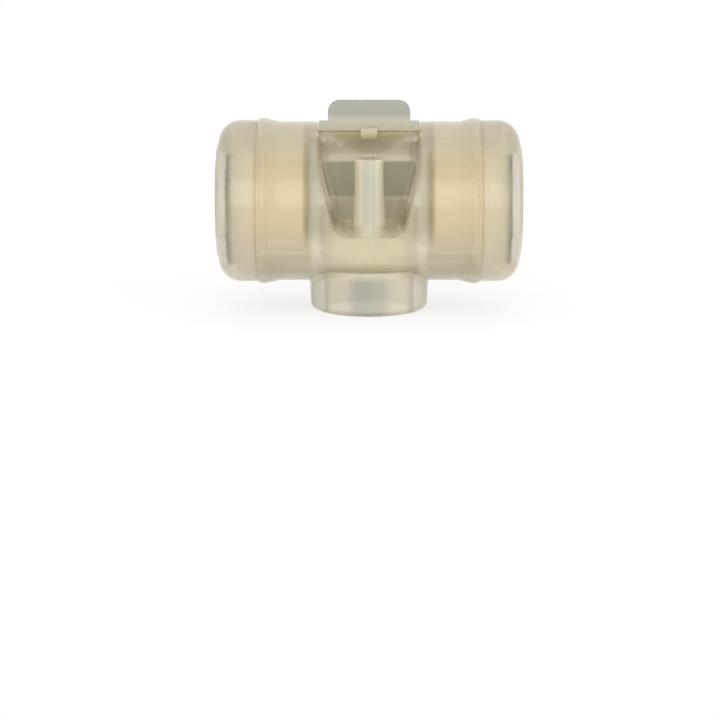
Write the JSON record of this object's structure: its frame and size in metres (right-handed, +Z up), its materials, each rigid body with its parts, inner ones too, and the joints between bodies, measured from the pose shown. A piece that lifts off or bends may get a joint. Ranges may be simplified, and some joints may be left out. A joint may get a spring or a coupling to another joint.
{
  "type": "heat and moisture exchanger",
  "caption": "Translucent tee-shaped breathing filter: paper rolls in end caps, a conical patient port below, an oxygen nipple in a front pocket and a hinged suction port lid on top.",
  "frame": {"origin": "centre of the patient socket's mouth, in the plane of the rim that the part stands on", "axes": "+X along the tube, towards one end cap; -Y to the front with the pocket and the oxygen nipple; +Z up from the patient port to the suction port"},
  "size_m": [0.0526, 0.0288, 0.0368],
  "materials": {
    "housing": "milky translucent polypropylene, satin",
    "end_cap": "milky translucent polypropylene, satin",
    "lid": "milky translucent polypropylene, satin",
    "paper": "uncoated corrugated paper"
  },
  "bodies": {
    "body": {"housing": "housing", "end_cap_left": "end_cap", "end_cap_right": "end_cap", "paper_roll_left": "paper", "paper_roll_right": "paper"},
    "lid": {"suction_port_lid": "lid"}
  },
  "joints": [
    {"name": "lid_hinge", "type": "hinge", "parent": "body", "child": "lid", "pos_m": [0, 0.0092, 0.02922], "axis": [-1, 0, 0], "range_deg": [0, 130]}
  ]
}
